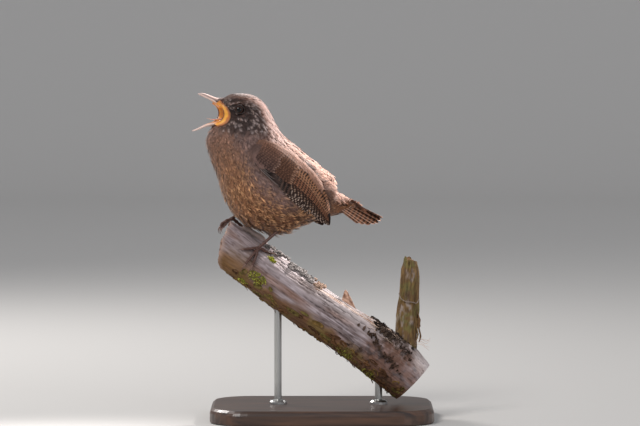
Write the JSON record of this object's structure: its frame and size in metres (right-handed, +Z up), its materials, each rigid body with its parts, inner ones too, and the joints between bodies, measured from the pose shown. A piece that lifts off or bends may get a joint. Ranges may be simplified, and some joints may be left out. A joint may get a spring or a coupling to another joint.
{
  "type": "singing wren on a broken branch",
  "caption": "Life-size still model of a small brown wren singing with its bill wide open, gripping a cut length of broken branch held over a flat base by two short rods",
  "frame": {"origin": "middle of the underside of the stand's base", "axes": "+Z up; the bird faces -X with its left side towards -Y; +Y is the far side"},
  "size_m": [0.1146, 0.074, 0.1553],
  "materials": {
    "plumage": "soft matt plumage, rufous brown with dark bars",
    "flight_feathers": "barred dark brown and rufous vanes",
    "horn": "pale horn bill, satin",
    "gape": "moist orange skin",
    "tongue": "moist pink skin",
    "eye": "glossy dark brown",
    "leg": "scaly reddish brown skin",
    "claw": "horn, satin",
    "weathered_wood": "silvered bare wood with bark, moss and lichen",
    "stand_wood": "dark stained wood, satin",
    "stand_steel": "satin"
  },
  "bodies": {
    "root": {"head": "plumage", "neck": "plumage", "trunk": "plumage", "tail": "flight_feathers", "wing_left": "flight_feathers", "wing_right": "flight_feathers", "upper_bill": "horn", "lower_bill": "horn", "gape": "gape", "tongue": "tongue", "eye_left": "eye", "eye_right": "eye", "leg_left": "leg", "foot_left": "leg", "leg_right": "leg", "foot_right": "leg", "perch_branch": "weathered_wood", "stand_base": "stand_wood", "stand_rod_front": "stand_steel", "stand_rod_rear": "stand_steel", "claw_left_1": "claw", "claw_left_2": "claw", "claw_left_3": "claw", "claw_left_4": "claw", "claw_right_1": "claw", "claw_right_2": "claw", "claw_right_3": "claw", "claw_right_4": "claw"}
  },
  "joints": []
}
